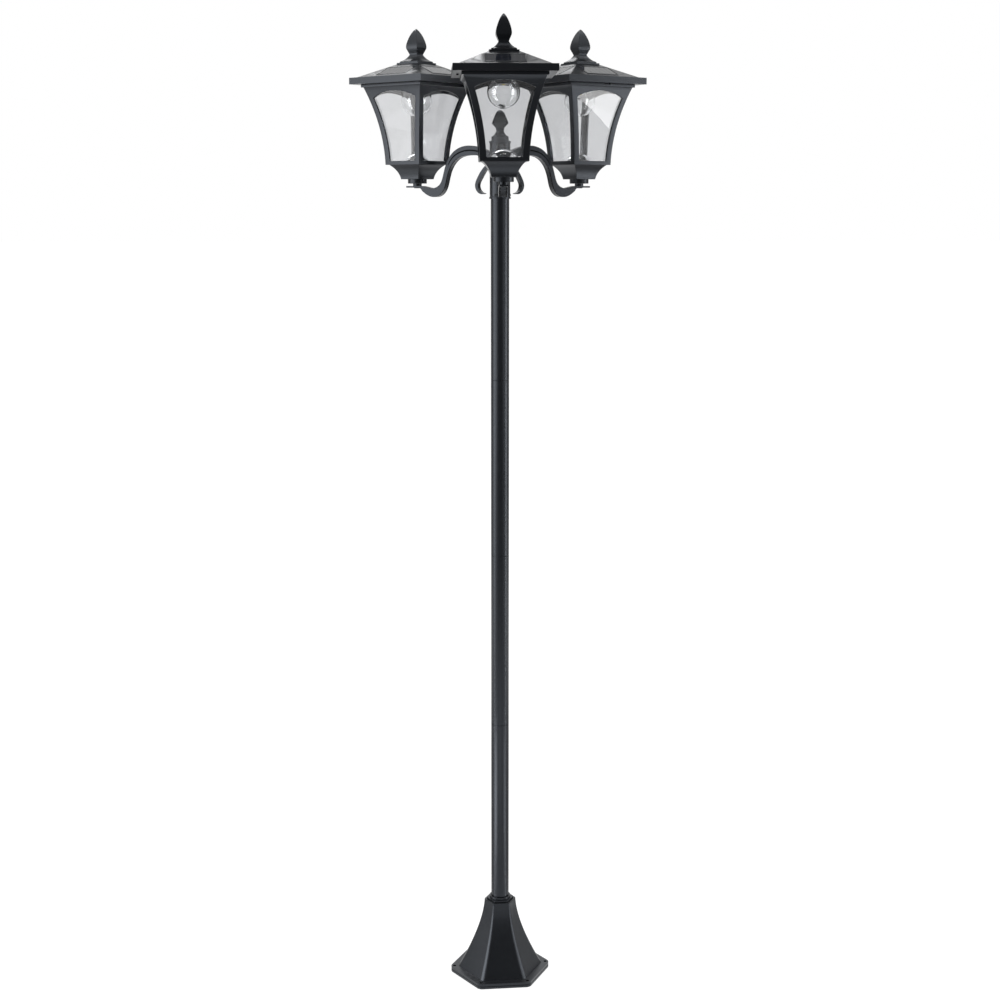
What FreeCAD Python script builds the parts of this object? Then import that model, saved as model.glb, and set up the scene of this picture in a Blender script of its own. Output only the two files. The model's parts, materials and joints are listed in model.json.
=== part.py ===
import FreeCAD, Part
import math
import os
import re

import Sketcher
from FreeCAD import Placement, Rotation, Vector

# A garden lamp post: a bolted hexagonal foot, four tubes joined end to end, and a hub that carries
# three scrolled arms, each with a square lantern. Origin: centre of the foot's underside, +Z up,
# the front arm along -Y. All sizes are in millimetres and heights are measured from the ground.

sizes = {
    # foot
    "foot_turn": 4,
    "foot_corner": 100,
    "foot_rounding": 13,
    "foot_plate_top": 5,
    "foot_chamfer": 0.6,
    "foot_groove_depth": 2.5,
    "foot_groove_top": 6,
    "foot_flange_top": 11,
    "bolt_circle_radius": 91.5,
    "bolt_hole_radius": 3.2,
    "bell_corner_low": 85,
    "bell_corner_top": 31.5,
    "bell_top": 151,
    "bell_wall": 3.5,
    "bell_bend": 1.55,
    "bell_ridge_low": 13,
    "bell_ridge_top": 5,
    "bell_step_corner": 27,
    "bell_step_top": 154.5,
    "neck_ring_radius": 20.5,
    "neck_ring_top": 159,
    "socket_flange_radius": 38,
    "socket_flange_top": 9,
    "socket_top": 174,
    # post
    "tube_radius": 17.2,
    "tube_wall": 1.6,
    "tube_chamfer": 0.5,
    "joint_low": 514,
    "joint_middle": 851,
    "joint_high": 1188,
    "sleeve_gap": 0.05,
    "sleeve_wall": 2,
    "sleeve_half_length": 40,
    "tube_top": 1611,
    # hub
    "hub_low": 1523,
    "hub_top": 1627,
    "hub_radius": 19,
    "hub_bead": 1,
    "hub_bead_height": 4,
    "turning_gap": 0.1,
    "set_screw_height": 1530,
    "set_screw_radius": 2.3,
    "set_screw_angle": 28,
    "spade_stud_radius": 4,
    "spade_collar_radius": 16,
    "spade_shoulder": 1636,
    "spade_neck": 1646,
    "spade_neck_half": 7,
    "spade_wide": 1659,
    "spade_wide_half": 15,
    "spade_tip": 1682.5,
    # arms
    "arm_reach": 177,
    "arm_width": 15,
    "arm_groove_depth": 1.6,
    "scroll_width": 10,
    "pad_top": 1547,
    "pad_thickness": 3,
    # lantern stem and cup
    "stem_shank_radius": 4,
    "stem_head_radius": 7,
    "stem_head_height": 1.2,
    "stem_neck_radius": 8.2,
    "stub_low": 1551.5,
    "stub_radius": 18,
    "cup_low": 1559.5,
    "cup_half_low": 22,
    "cup_half_middle": 25.6,
    "cup_half_top": 37.5,
    "cup_wall": 3,
    # lantern body
    "body_low": 1586,
    "body_half_low": 42.5,
    "body_middle": 1654,
    "body_half_middle": 49.8,
    "body_half_top": 72.5,
    "body_wall": 3.5,
    "body_floor": 3,
    "collar_low": 1727.5,
    "collar_half": 73.8,
    "leg_width": 11.6,
    "window_low": 1593,
    "window_spring": 1708,
    "window_crown": 1720,
    "pane_gap": 0.1,
    "pane_thickness": 2,
    "pane_top": 1727,
    "reflector_radius": 28.5,
    "reflector_crown": 1607,
    "reflector_wall": 1.5,
    # roof
    "eave_low": 1733,
    "eave_top": 1745,
    "eave_half": 89,
    "rim_thickness": 2,
    "hip_half": 80.5,
    "roof_wall": 3,
    "ledge_low": 1770,
    "ledge_top": 1772.5,
    "ledge_half": 26,
    "cell_width": 72,
    "cell_length": 37,
    "cell_depth": 1.5,
    "cell_place": 0.535,
    "finial_neck": 1787.5,
    "finial_neck_half": 8.9,
    "finial_wide": 1800,
    "finial_wide_half": 13.6,
    "finial_tip": 1834,
    "finial_cap_half": 24.5,
    "finial_stud_radius": 4,
    # light tray and what hangs from it
    "tray_gap": 0.3,
    "tray_thickness": 3,
    "tray_lip_half": 66,
    "tray_lip_depth": 3.5,
    "screw_offset": 58,
    "screw_head_radius": 3,
    "screw_shank_radius": 1.5,
    "screw_length": 10,
    "cell_bay_offset": 22,
    "battery_radius": 9.1,
    "battery_length": 65,
    "holder_low": 1717,
    "holder_radius": 13,
    "globe_radius": 28.5,
    "globe_centre": 1704,
    "globe_wall": 1.6,
    "globe_mouth_radius": 18,
    "led_radius": 8.5,
    "led_thickness": 1.4,
    "switch_knob": 4,
    "switch_knob_drop": 2.4,
    "switch_travel": 4,
    "switch_across": -79.5,
    "switch_along": -10,
    # how far each lantern stands turned on its stem, in degrees
    "turn_front": 0.5,
    "turn_right": 1.6,
    "turn_left": -10.7,
}

doc = FreeCAD.newDocument("LampPost")
sheet = doc.addObject("Spreadsheet::Sheet", "Sizes")
for row, (alias, number) in enumerate(sizes.items(), start=1):
    sheet.set(f"A{row}", alias)
    sheet.set(f"B{row}", str(number))
    sheet.setAlias(f"B{row}", alias)
doc.recompute()

nodes = []


def size(alias):
    return float(sheet.get(alias))


def value(words):
    # the number that a sum such as "hub_top - hub_bead" comes to
    total, sign = 0.0, 1
    for word in words.split():
        if word in "+-":
            sign = 1 if word == "+" else -1
        else:
            total += sign * (size(word) if word in sizes else float(word))
    return total


def cells(words):
    # the same sum as an expression that follows the sheet
    return re.sub(r"[a-z][a-z_]*", lambda found: "Sizes." + found.group(0), words)


def keep(thing, label, place=None):
    thing.Label = label
    if place is not None:
        thing.Placement = place
    nodes.append(thing)
    return thing


def solid_of(label, shape, place=None):
    feature = doc.addObject("Part::Feature", label)
    feature.Shape = shape
    return keep(feature, label, place or Placement())


# ---- sketched pieces: every corner of the outline is tied to the sheet


def sketch_outline(body, name, outline):
    # (radius, height) corners; "dome" between two corners makes an arc centred on the upright axis
    sketch = body.newObject("Sketcher::SketchObject", name)
    plane = next(f for f in body.Origin.OriginFeatures if f.Role == "XZ_Plane")
    sketch.AttachmentSupport = [(plane, "")]
    sketch.MapMode = "FlatFace"
    corners = [point for point in outline if point != "dome"]
    domed = [following == "dome" for following in outline[1:] + outline[:1]]
    domed = [mark for point, mark in zip(outline, domed) if point != "dome"]
    spots = [Vector(value(radius), value(height), 0) for radius, height in corners]
    count = len(corners)
    edges = []
    for index in range(count):
        here, there = spots[index], spots[(index + 1) % count]
        shape = dome_arc(here, there) if domed[index] else Part.LineSegment(here, there)
        edges.append(sketch.addGeometry(shape, False))
    ends = [end_numbers(sketch, edge, spots[index]) for index, edge in enumerate(edges)]
    for index in range(count):
        following = (index + 1) % count
        meeting = ("Coincident", edges[index], ends[index][1], edges[following], ends[following][0])
        sketch.addConstraint(Sketcher.Constraint(*meeting))
    for index in range(count):
        fix_point(sketch, edges[index], ends[index][0], corners[index])
        if domed[index]:
            sketch.addConstraint(Sketcher.Constraint("PointOnObject", edges[index], 3, -2))
    return sketch


def dome_arc(here, there):
    centre = (there.x**2 - here.x**2 + there.y**2 - here.y**2) / (2 * (there.y - here.y))
    radius = math.hypot(here.x, here.y - centre)
    middle_angle = (math.atan2(here.y - centre, here.x) + math.atan2(there.y - centre, there.x)) / 2
    middle = Vector(radius * math.cos(middle_angle), centre + radius * math.sin(middle_angle), 0)
    return Part.Arc(here, middle, there)


def end_numbers(sketch, edge, start):
    # an arc may run backwards, so its start point is looked up
    forwards = sketch.getPoint(edge, 1).distanceToPoint(start) < 1e-6
    return (1, 2) if forwards else (2, 1)


def fix_point(sketch, geometry, end, words):
    for direction, axis, words_along in (("DistanceX", -2, words[0]), ("DistanceY", -1, words[1])):
        if abs(value(words_along)) < 1e-9:
            sketch.addConstraint(Sketcher.Constraint("PointOnObject", geometry, end, axis))
            continue
        distance = Sketcher.Constraint(direction, -1, 1, geometry, end, value(words_along))
        number = sketch.addConstraint(distance)
        sketch.setExpression(f"Constraints[{number}]", cells(words_along))


def turned(label, outline, place=None):
    # a piece turned about its own upright axis, from (radius, height) corners
    body = doc.addObject("PartDesign::Body", label)
    sketch = sketch_outline(body, label + "_outline", outline)
    lathe = body.newObject("PartDesign::Revolution", label + "_turned")
    lathe.Profile = sketch
    lathe.ReferenceAxis = (sketch, ["V_Axis"])
    lathe.Angle = 360
    doc.recompute()
    return keep(body, label, place)


# ---- primitives and booleans, also tied to the sheet


def tie(thing, **words):
    for name, sum_words in words.items():
        thing.setExpression(name.replace("_", "."), cells(sum_words))


def cylinder(name, radius, low, height):
    rod = doc.addObject("Part::Cylinder", name)
    tie(rod, Radius=radius, Height=height, Placement_Base_z=low)
    return rod


def joined(name, *pieces):
    whole = doc.addObject("Part::MultiFuse", name)
    whole.Shapes = list(pieces)
    return whole


def cut_away(name, base, *tools):
    rest = doc.addObject("Part::Cut", name)
    rest.Base = base
    rest.Tool = tools[0] if len(tools) == 1 else joined(name + "_tools", *tools)
    return rest


# ---- shapes that sketches can't give


def polygon_wire(count, corner, rounding, height, first=0.0):
    # a level wire with its corners on a circle of radius corner, each rounded where rounding isn't nil
    half = math.pi / count
    angles = [first + 2 * half * index for index in range(count)]
    tips = [Vector(corner * math.cos(angle), corner * math.sin(angle), height) for angle in angles]
    if rounding == 0:
        return Part.makePolygon(tips + tips[:1])
    reach = rounding * math.tan(half)
    sag = rounding * (1 - 1 / math.cos(half))
    arcs = []
    for angle, tip in zip(angles, tips):
        before = tip + Vector(math.sin(angle - half), -math.cos(angle - half), 0) * reach
        after = tip + Vector(-math.sin(angle + half), math.cos(angle + half), 0) * reach
        arcs.append((before, tip + Vector(math.cos(angle), math.sin(angle), 0) * sag, after))
    edges = []
    for arc, following in zip(arcs, arcs[1:] + arcs[:1]):
        edges.append(Part.Arc(*arc).toShape())
        edges.append(Part.LineSegment(arc[2], following[0]).toShape())
    return Part.Wire(edges)


def square_loft(stations):
    # a four-sided form with sharp ridges and flowing sides, from (half width, height) pairs
    wires = [polygon_wire(4, half * math.sqrt(2), 0, height, math.pi / 4) for half, height in stations]
    return Part.makeLoft(wires, True)


def square_taper(half_low, low, half_high, high):
    # a four-sided form with flat sides, drawn along +Y and then stood up
    near = (-half_low, low, -half_low, -half_high, -half_high)
    far = (half_low, high, half_low, half_high, half_high)
    taper = Part.makeWedge(*near, *far)
    taper.rotate(Vector(0, 0, 0), Vector(1, 0, 0), 90)
    return taper


def quarter_turns(shape):
    # the shape and its three copies round the upright axis
    copies = []
    for quarter in range(4):
        copy = shape.copy()
        copy.rotate(Vector(0, 0, 0), Vector(0, 0, 1), 90 * quarter)
        copies.append(copy)
    return copies


class Flare:
    # a lantern's side seen face on: one arc through three (half width, height) points
    def __init__(self, low, middle, high):
        circle = Part.Circle(*[Vector(half, 0, height) for half, height in (low, middle, high)])
        self.centre, self.radius = circle.Center, circle.Radius
        self.low, self.high = low[1], high[1]

    def half(self, height, inset=0.0):
        rise = height - self.centre.z
        return self.centre.x - math.sqrt(self.radius**2 - rise**2) - inset

    def side(self, low, high, inset):
        heights = (low, (low + high) / 2, high)
        return Part.Arc(*[Vector(self.half(z, inset), 0, z) for z in heights]).toShape()

    def face(self, low, high, inset, crown=None):
        # the outline between two heights, with a flat top or an arched one
        right = self.side(low, high, inset)
        left = right.mirror(Vector(0, 0, 0), Vector(1, 0, 0))
        low_right, high_right = Vector(self.half(low, inset), 0, low), Vector(self.half(high, inset), 0, high)
        low_left, high_left = Vector(-low_right.x, 0, low), Vector(-high_right.x, 0, high)
        if crown is None:
            top = Part.LineSegment(high_left, high_right).toShape()
        else:
            top = Part.Arc(high_left, Vector(0, 0, crown), high_right).toShape()
        bottom = Part.LineSegment(low_left, low_right).toShape()
        return Part.Face(Part.Wire(Part.__sortEdges__([right, top, left, bottom])))

    def through(self, low, high, inset, crown=None):
        # that outline pushed straight through the lantern from front to back
        reach = 2 * self.half(self.high)
        outline = self.face(low, high, inset, crown)
        outline.translate(Vector(0, -reach, 0))
        return outline.extrude(Vector(0, 2 * reach, 0))

    def solid(self, low, high, inset=0.0):
        way = self.through(low, high, inset)
        across = way.copy()
        across.rotate(Vector(0, 0, 0), Vector(0, 0, 1), 90)
        return way.common(across)


# ---- foot


def hexagon(corner, rounding, low, high):
    wire = polygon_wire(6, corner, rounding, low)
    return Part.Face(wire).extrude(Vector(0, 0, high - low))


def bolt_holes(low, high):
    holes = []
    for index in range(6):
        angle = math.radians(60 * index)
        radius = size("bolt_circle_radius")
        spot = Vector(radius * math.cos(angle), radius * math.sin(angle), low)
        holes.append(Part.makeCylinder(size("bolt_hole_radius"), high - low, spot))
    return holes


def bell(inset, low, high, crisp=False):
    # six concave sides that run up to the post, through five hexagons
    foot, top = size("foot_flange_top"), size("bell_top")
    wide, narrow = size("bell_corner_low"), size("bell_corner_top")
    ridge_low, ridge_top = size("bell_ridge_low"), size("bell_ridge_top")
    wires = []
    for step in range(5):
        share = step / 4
        corner = narrow + (wide - narrow) * (1 - share) ** size("bell_bend")
        rounding = 0 if crisp else ridge_low + (ridge_top - ridge_low) * share
        wires.append(polygon_wire(6, corner - inset, rounding, foot + (top - foot) * share))
    reach = size("foot_corner")
    stretch = Part.makeBox(2 * reach, 2 * reach, high - low, Vector(-reach, -reach, low))
    return Part.makeLoft(wires, True, crisp).common(stretch)


def make_foot():
    place = Placement(Vector(0, 0, 0), Rotation(Vector(0, 0, 1), size("foot_turn")))
    corner, rounding = size("foot_corner"), size("foot_rounding")
    plate_top, flange_top = size("foot_plate_top"), size("foot_flange_top")
    plate = hexagon(corner, rounding, 0, plate_top)
    lowest = [edge for edge in plate.Edges if edge.BoundBox.ZMax < 1e-6]
    plate = plate.makeChamfer(size("foot_chamfer"), lowest).cut(bolt_holes(-1, plate_top + 1))
    solid_of("base_plate", plate, place)

    groove_top = size("foot_groove_top")
    groove = hexagon(corner - size("foot_groove_depth"), rounding, plate_top, groove_top)
    flange = hexagon(corner, rounding, groove_top, flange_top)
    wall = size("bell_wall")
    outside = bell(0, flange_top, size("bell_top"))
    step = hexagon(size("bell_step_corner"), 4, size("bell_top"), size("bell_step_top"))
    ring = Part.makeCylinder(size("neck_ring_radius"), size("neck_ring_top") - size("bell_step_top"))
    ring.translate(Vector(0, 0, size("bell_step_top")))
    shell = groove.fuse([flange, outside, step, ring])
    hollow = bell(wall + 0.5, flange_top, size("bell_top") - wall, True)
    mouth = hexagon(size("bell_corner_low") - wall - 0.5, 13, plate_top - 1, flange_top)
    bore = Part.makeCylinder(size("tube_radius") + 0.3, 200)
    cover = shell.cut([hollow, mouth, bore] + bolt_holes(0, flange_top + 1))
    solid_of("base_cover", cover.removeSplitter(), place)


def make_post():
    bore = "tube_radius - tube_wall"
    spigot = bore + " - sleeve_gap"
    turned(
        "post_socket",
        [
            (spigot + " - 3", "foot_plate_top"),
            ("socket_flange_radius", "foot_plate_top"),
            ("socket_flange_radius", "socket_flange_top"),
            (spigot, "socket_flange_top"),
            (spigot, "socket_top - 2"),
            (spigot + " - 2", "socket_top"),
            (spigot + " - 3", "socket_top"),
        ],
    )
    heights = ["socket_flange_top", "joint_low", "joint_middle", "joint_high", "tube_top"]
    for number in range(4):
        low, high = heights[number], heights[number + 1]
        turned(
            f"post_tube_{number + 1}",
            [
                (bore, low),
                ("tube_radius - tube_chamfer", low),
                ("tube_radius", low + " + tube_chamfer"),
                ("tube_radius", high + " - tube_chamfer"),
                ("tube_radius - tube_chamfer", high),
                (bore, high),
            ],
        )
    rings = []
    for number, joint in enumerate(heights[1:4], start=1):
        low, tall = joint + " - sleeve_half_length", "sleeve_half_length + sleeve_half_length"
        outside = cylinder(f"sleeve_{number}_outside", spigot, low, tall)
        inside = cylinder(f"sleeve_{number}_inside", spigot + " - sleeve_wall", low, tall)
        rings.append(cut_away(f"sleeve_{number}", outside, inside))
    sleeves = doc.addObject("Part::Compound", "tube_sleeves")
    sleeves.Links = rings
    keep(sleeves, "tube_sleeves")


# ---- hub with its spade top and set screws


def set_screw_angles():
    # three screws round the hub; the first stands a little left of the front arm
    first = -90 - size("set_screw_angle")
    return [first + 120 * index for index in range(3)]


def radial_rod(radius, near, far, height, degrees):
    angle = math.radians(degrees)
    outwards = Vector(math.cos(angle), math.sin(angle), 0)
    return Part.makeCylinder(radius, far - near, outwards * near + Vector(0, 0, height), outwards)


def make_hub():
    blank = turned(
        "hub_blank",
        [
            ("tube_radius + turning_gap", "hub_low"),
            ("hub_radius + hub_bead", "hub_low"),
            ("hub_radius + hub_bead", "hub_low + hub_bead_height - 1"),
            ("hub_radius", "hub_low + hub_bead_height"),
            ("hub_radius", "hub_top - hub_bead_height"),
            ("hub_radius + hub_bead", "hub_top - hub_bead_height + 1"),
            ("hub_radius + hub_bead", "hub_top"),
            ("spade_stud_radius + 0.1", "hub_top"),
            ("spade_stud_radius + 0.1", "tube_top"),
            ("tube_radius + turning_gap", "tube_top"),
        ],
    )
    nodes.remove(blank)
    holes, screws = [], []
    for number, degrees in enumerate(set_screw_angles()):
        height, radius = size("set_screw_height"), size("set_screw_radius")
        holes.append(radial_rod(radius, size("tube_radius"), size("hub_radius") + 2, height, degrees))
        near = size("tube_radius") + 0.3
        screw = radial_rod(radius - 0.05, near, size("hub_radius") + 0.8, height, degrees)
        screws.append(screw)
    solid_of("hub", blank.Shape.cut(holes))
    solid_of("hub_screws", Part.makeCompound(screws))

    top, shoulder, neck = size("hub_top"), size("spade_shoulder"), size("spade_neck")
    wide, tip = size("spade_wide"), size("spade_tip")
    neck_half, wide_half = size("spade_neck_half"), size("spade_wide_half")
    collar_radius, step = size("spade_collar_radius"), shoulder - 4
    collar = Part.makeCylinder(collar_radius, step - top, Vector(0, 0, top))
    collar = collar.fuse(Part.makeCone(collar_radius, collar_radius - 4, 5, Vector(0, 0, step)))
    waist = square_loft([(neck_half + 3.5, shoulder), (neck_half + 0.6, neck - 4), (neck_half, neck)])
    flank = square_taper(neck_half, neck, wide_half, wide)
    # the blade swells out of its flank and rounds over to the tip: (share of the half width, of the height)
    swell = [(1, 0), (0.93, 0.3), (0.71, 0.66), (0.4, 0.9), (0.1, 1)]
    blade = square_loft([(wide_half * across, wide + (tip - wide) * up) for across, up in swell])
    stud_low = size("tube_top") + 2
    stud = Part.makeCylinder(size("spade_stud_radius"), top - stud_low, Vector(0, 0, stud_low))
    spade = collar.fuse([waist, flank, blade, stud])
    solid_of("hub_finial", spade.removeSplitter())


# ---- arms


def edge_curve(points):
    curve = Part.BSplineCurve()
    curve.interpolate([Vector(reach, 0, height) for reach, height in points])
    return curve.toShape()


def straight(start, stop):
    return Part.LineSegment(Vector(start[0], 0, start[1]), Vector(stop[0], 0, stop[1])).toShape()


def plate_of(edges, width):
    # an upright plate of that width, cut to the edges' outline
    face = Part.Face(Part.Wire(Part.__sortEdges__(edges)))
    face.translate(Vector(0, -width / 2, 0))
    return face.extrude(Vector(0, width, 0))


def bar(top_points, bottom_points, width):
    # a flat bar between two flowing edges that run outwards side by side
    edges = [edge_curve(top_points), edge_curve(bottom_points)]
    edges += [straight(top_points[end], bottom_points[end]) for end in (0, -1)]
    return plate_of(edges, width)


def arm_shape():
    root, reach = size("hub_radius") - 3, size("arm_reach")
    pad_top, pad_low = size("pad_top"), size("pad_top") - size("pad_thickness")
    # (distance from the post's axis, height): up over the arch, down the throat, round the loop
    upper = [(root, 1606), (38, 1615.5), (64, 1620), (92, 1611), (109, 1590), (117, 1566)]
    upper += [(125, 1549), (138, 1543), (152, 1544.5), (reach - 14, pad_top)]
    lower = [(root, 1588), (40, 1601), (62, 1602.5), (84, 1598), (101, 1582), (109.5, 1560)]
    lower += [(116, 1540), (126, 1529.5), (140, 1526.5), (153, 1531), (reach - 14, pad_low - 6)]
    limb = bar(upper, lower, size("arm_width"))
    spine = [((a[0] + b[0]) / 2, (a[1] + b[1]) / 2) for a, b in zip(upper[1:5], lower[1:5])]
    line_up = [(x, z + 1.2) for x, z in spine]
    line_down = [(x, z - 1.2) for x, z in spine]
    for side in (1, -1):
        line = bar(line_up, line_down, size("arm_groove_depth"))
        line.translate(Vector(0, side * (size("arm_width") - size("arm_groove_depth")) / 2, 0))
        limb = limb.cut(line)
    # the pad: a thin tongue, thick at the loop, that the lantern stands on
    start, stop, flat_from = reach - 14, reach + 20.5, reach - 7.3
    fall = [(start, pad_low - 6), (start + 3.6, pad_low - 1.6), (flat_from, pad_low)]
    outline = [fall[-1], (stop, pad_low), (stop, pad_top), (start, pad_top), fall[0]]
    edges = [edge_curve(fall)] + [straight(*ends) for ends in zip(outline, outline[1:])]
    tongue = plate_of(edges, size("arm_width"))
    hole_radius = size("stem_shank_radius") + size("turning_gap")
    hole = Part.makeCylinder(hole_radius, 20, Vector(reach, 0, pad_low - 10))
    # the scroll that curls down beside the post
    outer = [(root, 1592), (34, 1578), (45, 1562), (50, 1546), (44, 1534.5), (31, 1532.2)]
    inner = [(root, 1584), (28, 1575), (38, 1560), (43.5, 1547), (40.5, 1538.5), (31, 1533.2)]
    scroll = bar(outer, inner, size("scroll_width"))
    hub_space = Part.makeCylinder(size("hub_radius"), 200, Vector(0, 0, 1500))
    return limb.fuse([tongue, scroll]).cut([hole, hub_space])


# ---- one lantern: everything is drawn about its own stem and then carried out along its arm


def body_flare():
    return Flare(
        (size("body_half_low"), size("body_low")),
        (size("body_half_middle"), size("body_middle")),
        (size("body_half_top"), size("eave_low")),
    )


def cup_flare():
    middle = (size("cup_low") + size("body_low")) / 2 - 1.5
    return Flare(
        (size("cup_half_low"), size("cup_low")),
        (size("cup_half_middle"), middle),
        (size("cup_half_top"), size("body_low")),
    )


def stud_hole(low, high):
    radius = size("stem_shank_radius") + 0.1
    return Part.makeCylinder(radius, high - low, Vector(0, 0, low))


def make_stem_and_cup(name, place):
    # riveted under the pad, a short neck, the round stub and a stud that the reflector screws onto
    turned(
        name + "_stem",
        [
            ("0", "pad_top - pad_thickness - stem_head_height"),
            ("stem_head_radius - 1", "pad_top - pad_thickness - stem_head_height"),
            ("stem_head_radius", "pad_top - pad_thickness"),
            ("stem_shank_radius", "pad_top - pad_thickness"),
            ("stem_shank_radius", "pad_top"),
            ("stem_neck_radius", "pad_top"),
            ("stem_neck_radius", "stub_low"),
            ("stub_radius - 0.6", "stub_low"),
            ("stub_radius", "stub_low + 0.6"),
            ("stub_radius", "cup_low"),
            ("stem_shank_radius", "cup_low"),
            ("stem_shank_radius", "body_low + 12"),
            ("0", "body_low + 12"),
        ],
        place,
    )
    cup = cup_flare()
    low, high, wall = size("cup_low"), size("body_low"), size("cup_wall")
    shell = cup.solid(low, high).cut([cup.solid(low + wall, high, wall), stud_hole(low - 1, high)])
    solid_of(name + "_base_cup", shell, place)


def make_body(name, place):
    flare = body_flare()
    low, high, wall = size("body_low"), size("eave_low"), size("body_wall")
    floor = low + size("body_floor")
    collar = square_prism(size("collar_half"), size("collar_low"), high)
    shell = flare.solid(low, high).fuse(collar).cut(flare.solid(floor, high, wall))
    window = flare.through(size("window_low"), size("window_spring"), size("leg_width"), size("window_crown"))
    across = window.copy()
    across.rotate(Vector(0, 0, 0), Vector(0, 0, 1), 90)
    solid_of(name + "_frame", shell.cut([window, across, stud_hole(low - 1, floor + 1)]), place)

    near = wall + size("pane_gap")
    far = near + size("pane_thickness")
    sheet_low, sheet_top = floor + 0.2, size("pane_top")
    slab = flare.face(sheet_low, sheet_top, near).cut(flare.face(sheet_low, sheet_top, far))
    strips = [face for face in slab.Faces if face.CenterOfMass.x > 0]
    strip = strips[0].translated(Vector(0, -200, 0)).extrude(Vector(0, 400, 0))
    sides = flare.through(sheet_low, sheet_top, far + 0.4)
    sides.rotate(Vector(0, 0, 0), Vector(0, 0, 1), 90)
    pane = strip.common(sides)
    solid_of(name + "_panes", Part.makeCompound(quarter_turns(pane)), place)

    # a polished dome that screws down over the stud and clamps floor and cup on the stub
    turned(
        name + "_reflector",
        [
            ("reflector_radius", "body_low + body_floor"),
            "dome",
            ("0", "reflector_crown"),
            ("0", "reflector_crown - 6"),
            ("stem_shank_radius + 0.1", "reflector_crown - 6"),
            ("stem_shank_radius + 0.1", "body_low + body_floor"),
            ("stem_shank_radius + 3", "body_low + body_floor"),
            ("stem_shank_radius + 3", "reflector_crown - 3"),
            "dome",
            ("reflector_radius - reflector_wall", "body_low + body_floor"),
        ],
        place,
    )


def slope():
    # the roof's fall: run, rise and angle from the eave's rim up to the ledge
    run = size("hip_half") - size("ledge_half")
    rise = size("ledge_low") - size("eave_top")
    return run, rise, math.degrees(math.atan2(rise, run))


def slab_on_slope(length, width, low, high):
    # a flat slab laid on the +X slope, between two heights measured square to it
    run, rise, angle = slope()
    share = size("cell_place")
    slab = Part.makeBox(length, width, high - low, Vector(-length / 2, -width / 2, low))
    slab.rotate(Vector(0, 0, 0), Vector(0, 1, 0), angle)
    slab.translate(Vector(size("ledge_half") + run * share, 0, size("ledge_low") - rise * share))
    return slab


def screw_spots():
    offset = size("screw_offset")
    return [(x, y) for x in (offset, -offset) for y in (offset, -offset)]


def rods_at(spots, radius, low, high):
    return [Part.makeCylinder(radius, high - low, Vector(x, y, low)) for x, y in spots]


def countersunk(gap):
    # the screws' cones and shanks, or with a gap the holes that clear them
    low = size("eave_low") + 0.1
    wide, thin = size("screw_head_radius") + gap, size("screw_shank_radius") + gap
    cones = [Part.makeCone(wide, thin, wide - thin, Vector(x, y, low)) for x, y in screw_spots()]
    mouths = rods_at(screw_spots(), wide, low - 1, low) if gap else []
    return cones + mouths, rods_at(screw_spots(), thin, low + thin / 2, low + size("screw_length"))


def block_at(x, y, length, width, low, high):
    return Part.makeBox(length, width, high - low, Vector(x - length / 2, y - width / 2, low))


def square_prism(half, low, high):
    return block_at(0, 0, 2 * half, 2 * half, low, high)


def make_roof(name, place):
    low, top, half, wall = size("eave_low"), size("eave_top"), size("eave_half"), size("roof_wall")
    ledge_low, ledge_half, hip_half = size("ledge_low"), size("ledge_half"), size("hip_half")
    under_rim = top - size("rim_thickness")
    hip = square_taper(hip_half, top, ledge_half, ledge_low)
    hip_inside = square_taper(hip_half - wall, under_rim, ledge_half - wall, ledge_low - 1.5 * wall)
    ledge_slab = square_prism(ledge_half, ledge_low, size("ledge_top"))
    outside = square_prism(half, low, top).fuse([hip, ledge_slab])
    boss, boss_low = 2 * size("screw_shank_radius") + 4, low + size("tray_thickness") + 0.2
    corners = [Vector(x - boss / 2, y - boss / 2, boss_low) for x, y in screw_spots()]
    bosses = [Part.makeBox(boss, boss, ledge_low - low, corner).common(outside) for corner in corners]
    shell = outside.cut([square_prism(half - wall, low, under_rim), hip_inside]).fuse(bosses)
    shank = size("screw_shank_radius") + 0.05
    threads = rods_at(screw_spots(), shank, low, low + size("screw_length") + 1)
    stud = Part.makeCylinder(size("finial_stud_radius") + 0.1, 30, Vector(0, 0, ledge_low - 15))
    depth = size("cell_depth")
    beds = quarter_turns(slab_on_slope(size("cell_length") + 0.6, size("cell_width") + 0.6, -depth, 5))
    solid_of(name + "_roof", shell.cut(threads + [stud] + beds), place)

    panel = slab_on_slope(size("cell_length"), size("cell_width"), -depth, 0.6)
    solid_of(name + "_solar_cells", Part.makeCompound(quarter_turns(panel)), place)

    ledge, neck, wide = size("ledge_top"), size("finial_neck"), size("finial_wide")
    neck_half, wide_half, tip = size("finial_neck_half"), size("finial_wide_half"), size("finial_tip")
    # a hollow-sided cap, then a flame: (share of the half width, of the height)
    spread, sweep = size("finial_cap_half") - neck_half, [(1, 0), (0.54, 0.31), (0.2, 0.68), (0, 1)]
    cap = square_loft([(neck_half + spread * across, ledge + (neck - ledge) * up) for across, up in sweep])
    flank = square_taper(neck_half, neck, wide_half, wide)
    swell = [(1, 0), (0.93, 0.265), (0.69, 0.575), (0.35, 0.853), (0.066, 1)]
    flame = square_loft([(wide_half * across, wide + (tip - wide) * up) for across, up in swell])
    stud_low = ledge - 9
    stud = Part.makeCylinder(size("finial_stud_radius"), ledge - stud_low, Vector(0, 0, stud_low))
    solid_of(name + "_finial", cap.fuse([flank, flame, stud]).removeSplitter(), place)


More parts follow.
